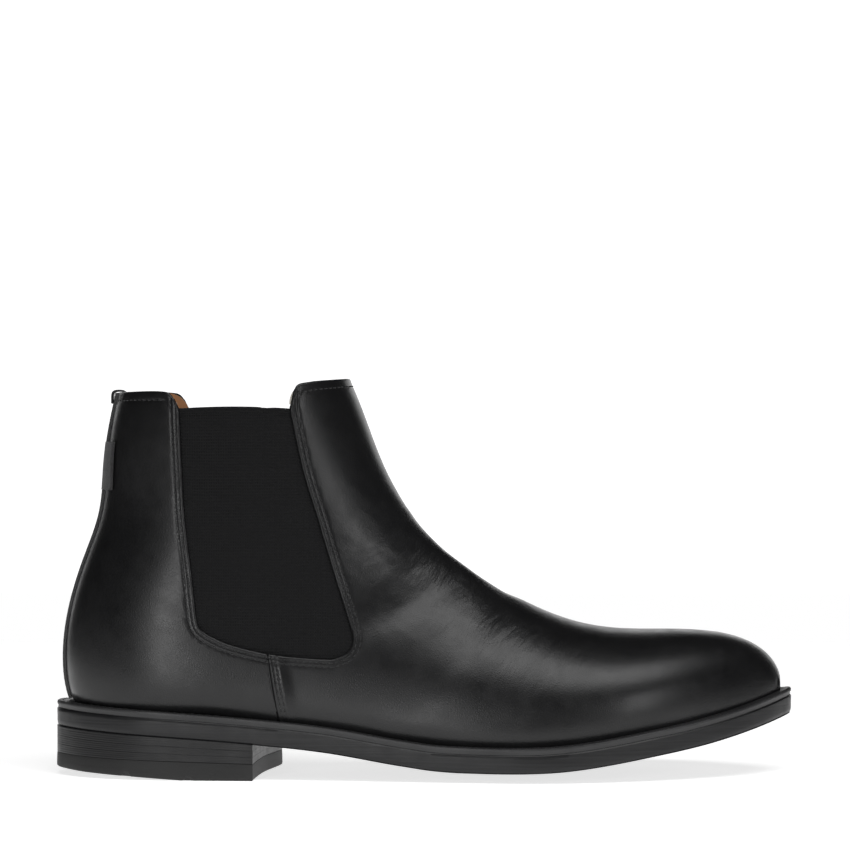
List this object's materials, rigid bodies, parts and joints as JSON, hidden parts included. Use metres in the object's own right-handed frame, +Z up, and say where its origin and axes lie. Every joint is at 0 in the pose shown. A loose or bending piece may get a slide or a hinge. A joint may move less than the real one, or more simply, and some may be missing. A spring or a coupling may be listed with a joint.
{
  "type": "chelsea boot",
  "caption": "Low-heeled leather ankle boot with elastic side gores, a one-piece vamp, a welted sole and a stacked heel; right foot.",
  "frame": {"origin": "bottom centre of the boot's box, on the ground", "axes": "+X to the toe, -Y to the outer (lateral) side, +Z up"},
  "size_m": [0.3051, 0.1051, 0.1632],
  "materials": {
    "upper_leather": "smooth polished calf, black",
    "elastic": "matte ribbed elastic webbing",
    "stiffener": "impregnated stiffener cloth",
    "lining_leather": "tan vegetable-tanned lining",
    "backing_cloth": "cotton backing cloth",
    "shank_steel": "rolled spring steel",
    "filler": "cork filler",
    "insole_board": "insole board",
    "cushion_foam": "latex foam",
    "sock_leather": "tan sock leather",
    "welt": "black dressed welt",
    "nail_steel": "steel nails",
    "sole_rubber": "satin black sole edge",
    "heel_stack": "stacked heel, dyed black",
    "top_piece_rubber": "black rubber top piece",
    "label_fabric": "folded woven label, blank"
  },
  "bodies": {
    "boot": {"vamp": "upper_leather", "quarter_lateral": "upper_leather", "quarter_medial": "upper_leather", "back_strip": "upper_leather", "gore_lateral": "elastic", "gore_medial": "elastic", "toe_puff": "stiffener", "heel_counter": "stiffener", "vamp_lining": "lining_leather", "quarter_lining_lateral": "lining_leather", "quarter_lining_medial": "lining_leather", "vamp_backing": "backing_cloth", "quarter_backing_lateral": "backing_cloth", "quarter_backing_medial": "backing_cloth", "shank": "shank_steel", "bottom_filler": "filler", "insole_board": "insole_board", "heel_cushion": "cushion_foam", "sock_lining": "sock_leather", "welt": "welt", "heel_nails": "nail_steel", "outsole": "sole_rubber", "heel_lift_1": "heel_stack", "heel_lift_2": "heel_stack", "heel_lift_3": "heel_stack", "heel_top_piece": "top_piece_rubber"},
    "label": {"label_tag": "label_fabric"}
  },
  "joints": [
    {"name": "label_flap", "type": "hinge", "parent": "boot", "child": "label", "pos_m": [-0.1325, -0.0058, 0.1271], "axis": [-0.0849, 0, -0.9964], "range_deg": [0, 90], "stiffness_Nm_per_rad": 0.002}
  ]
}
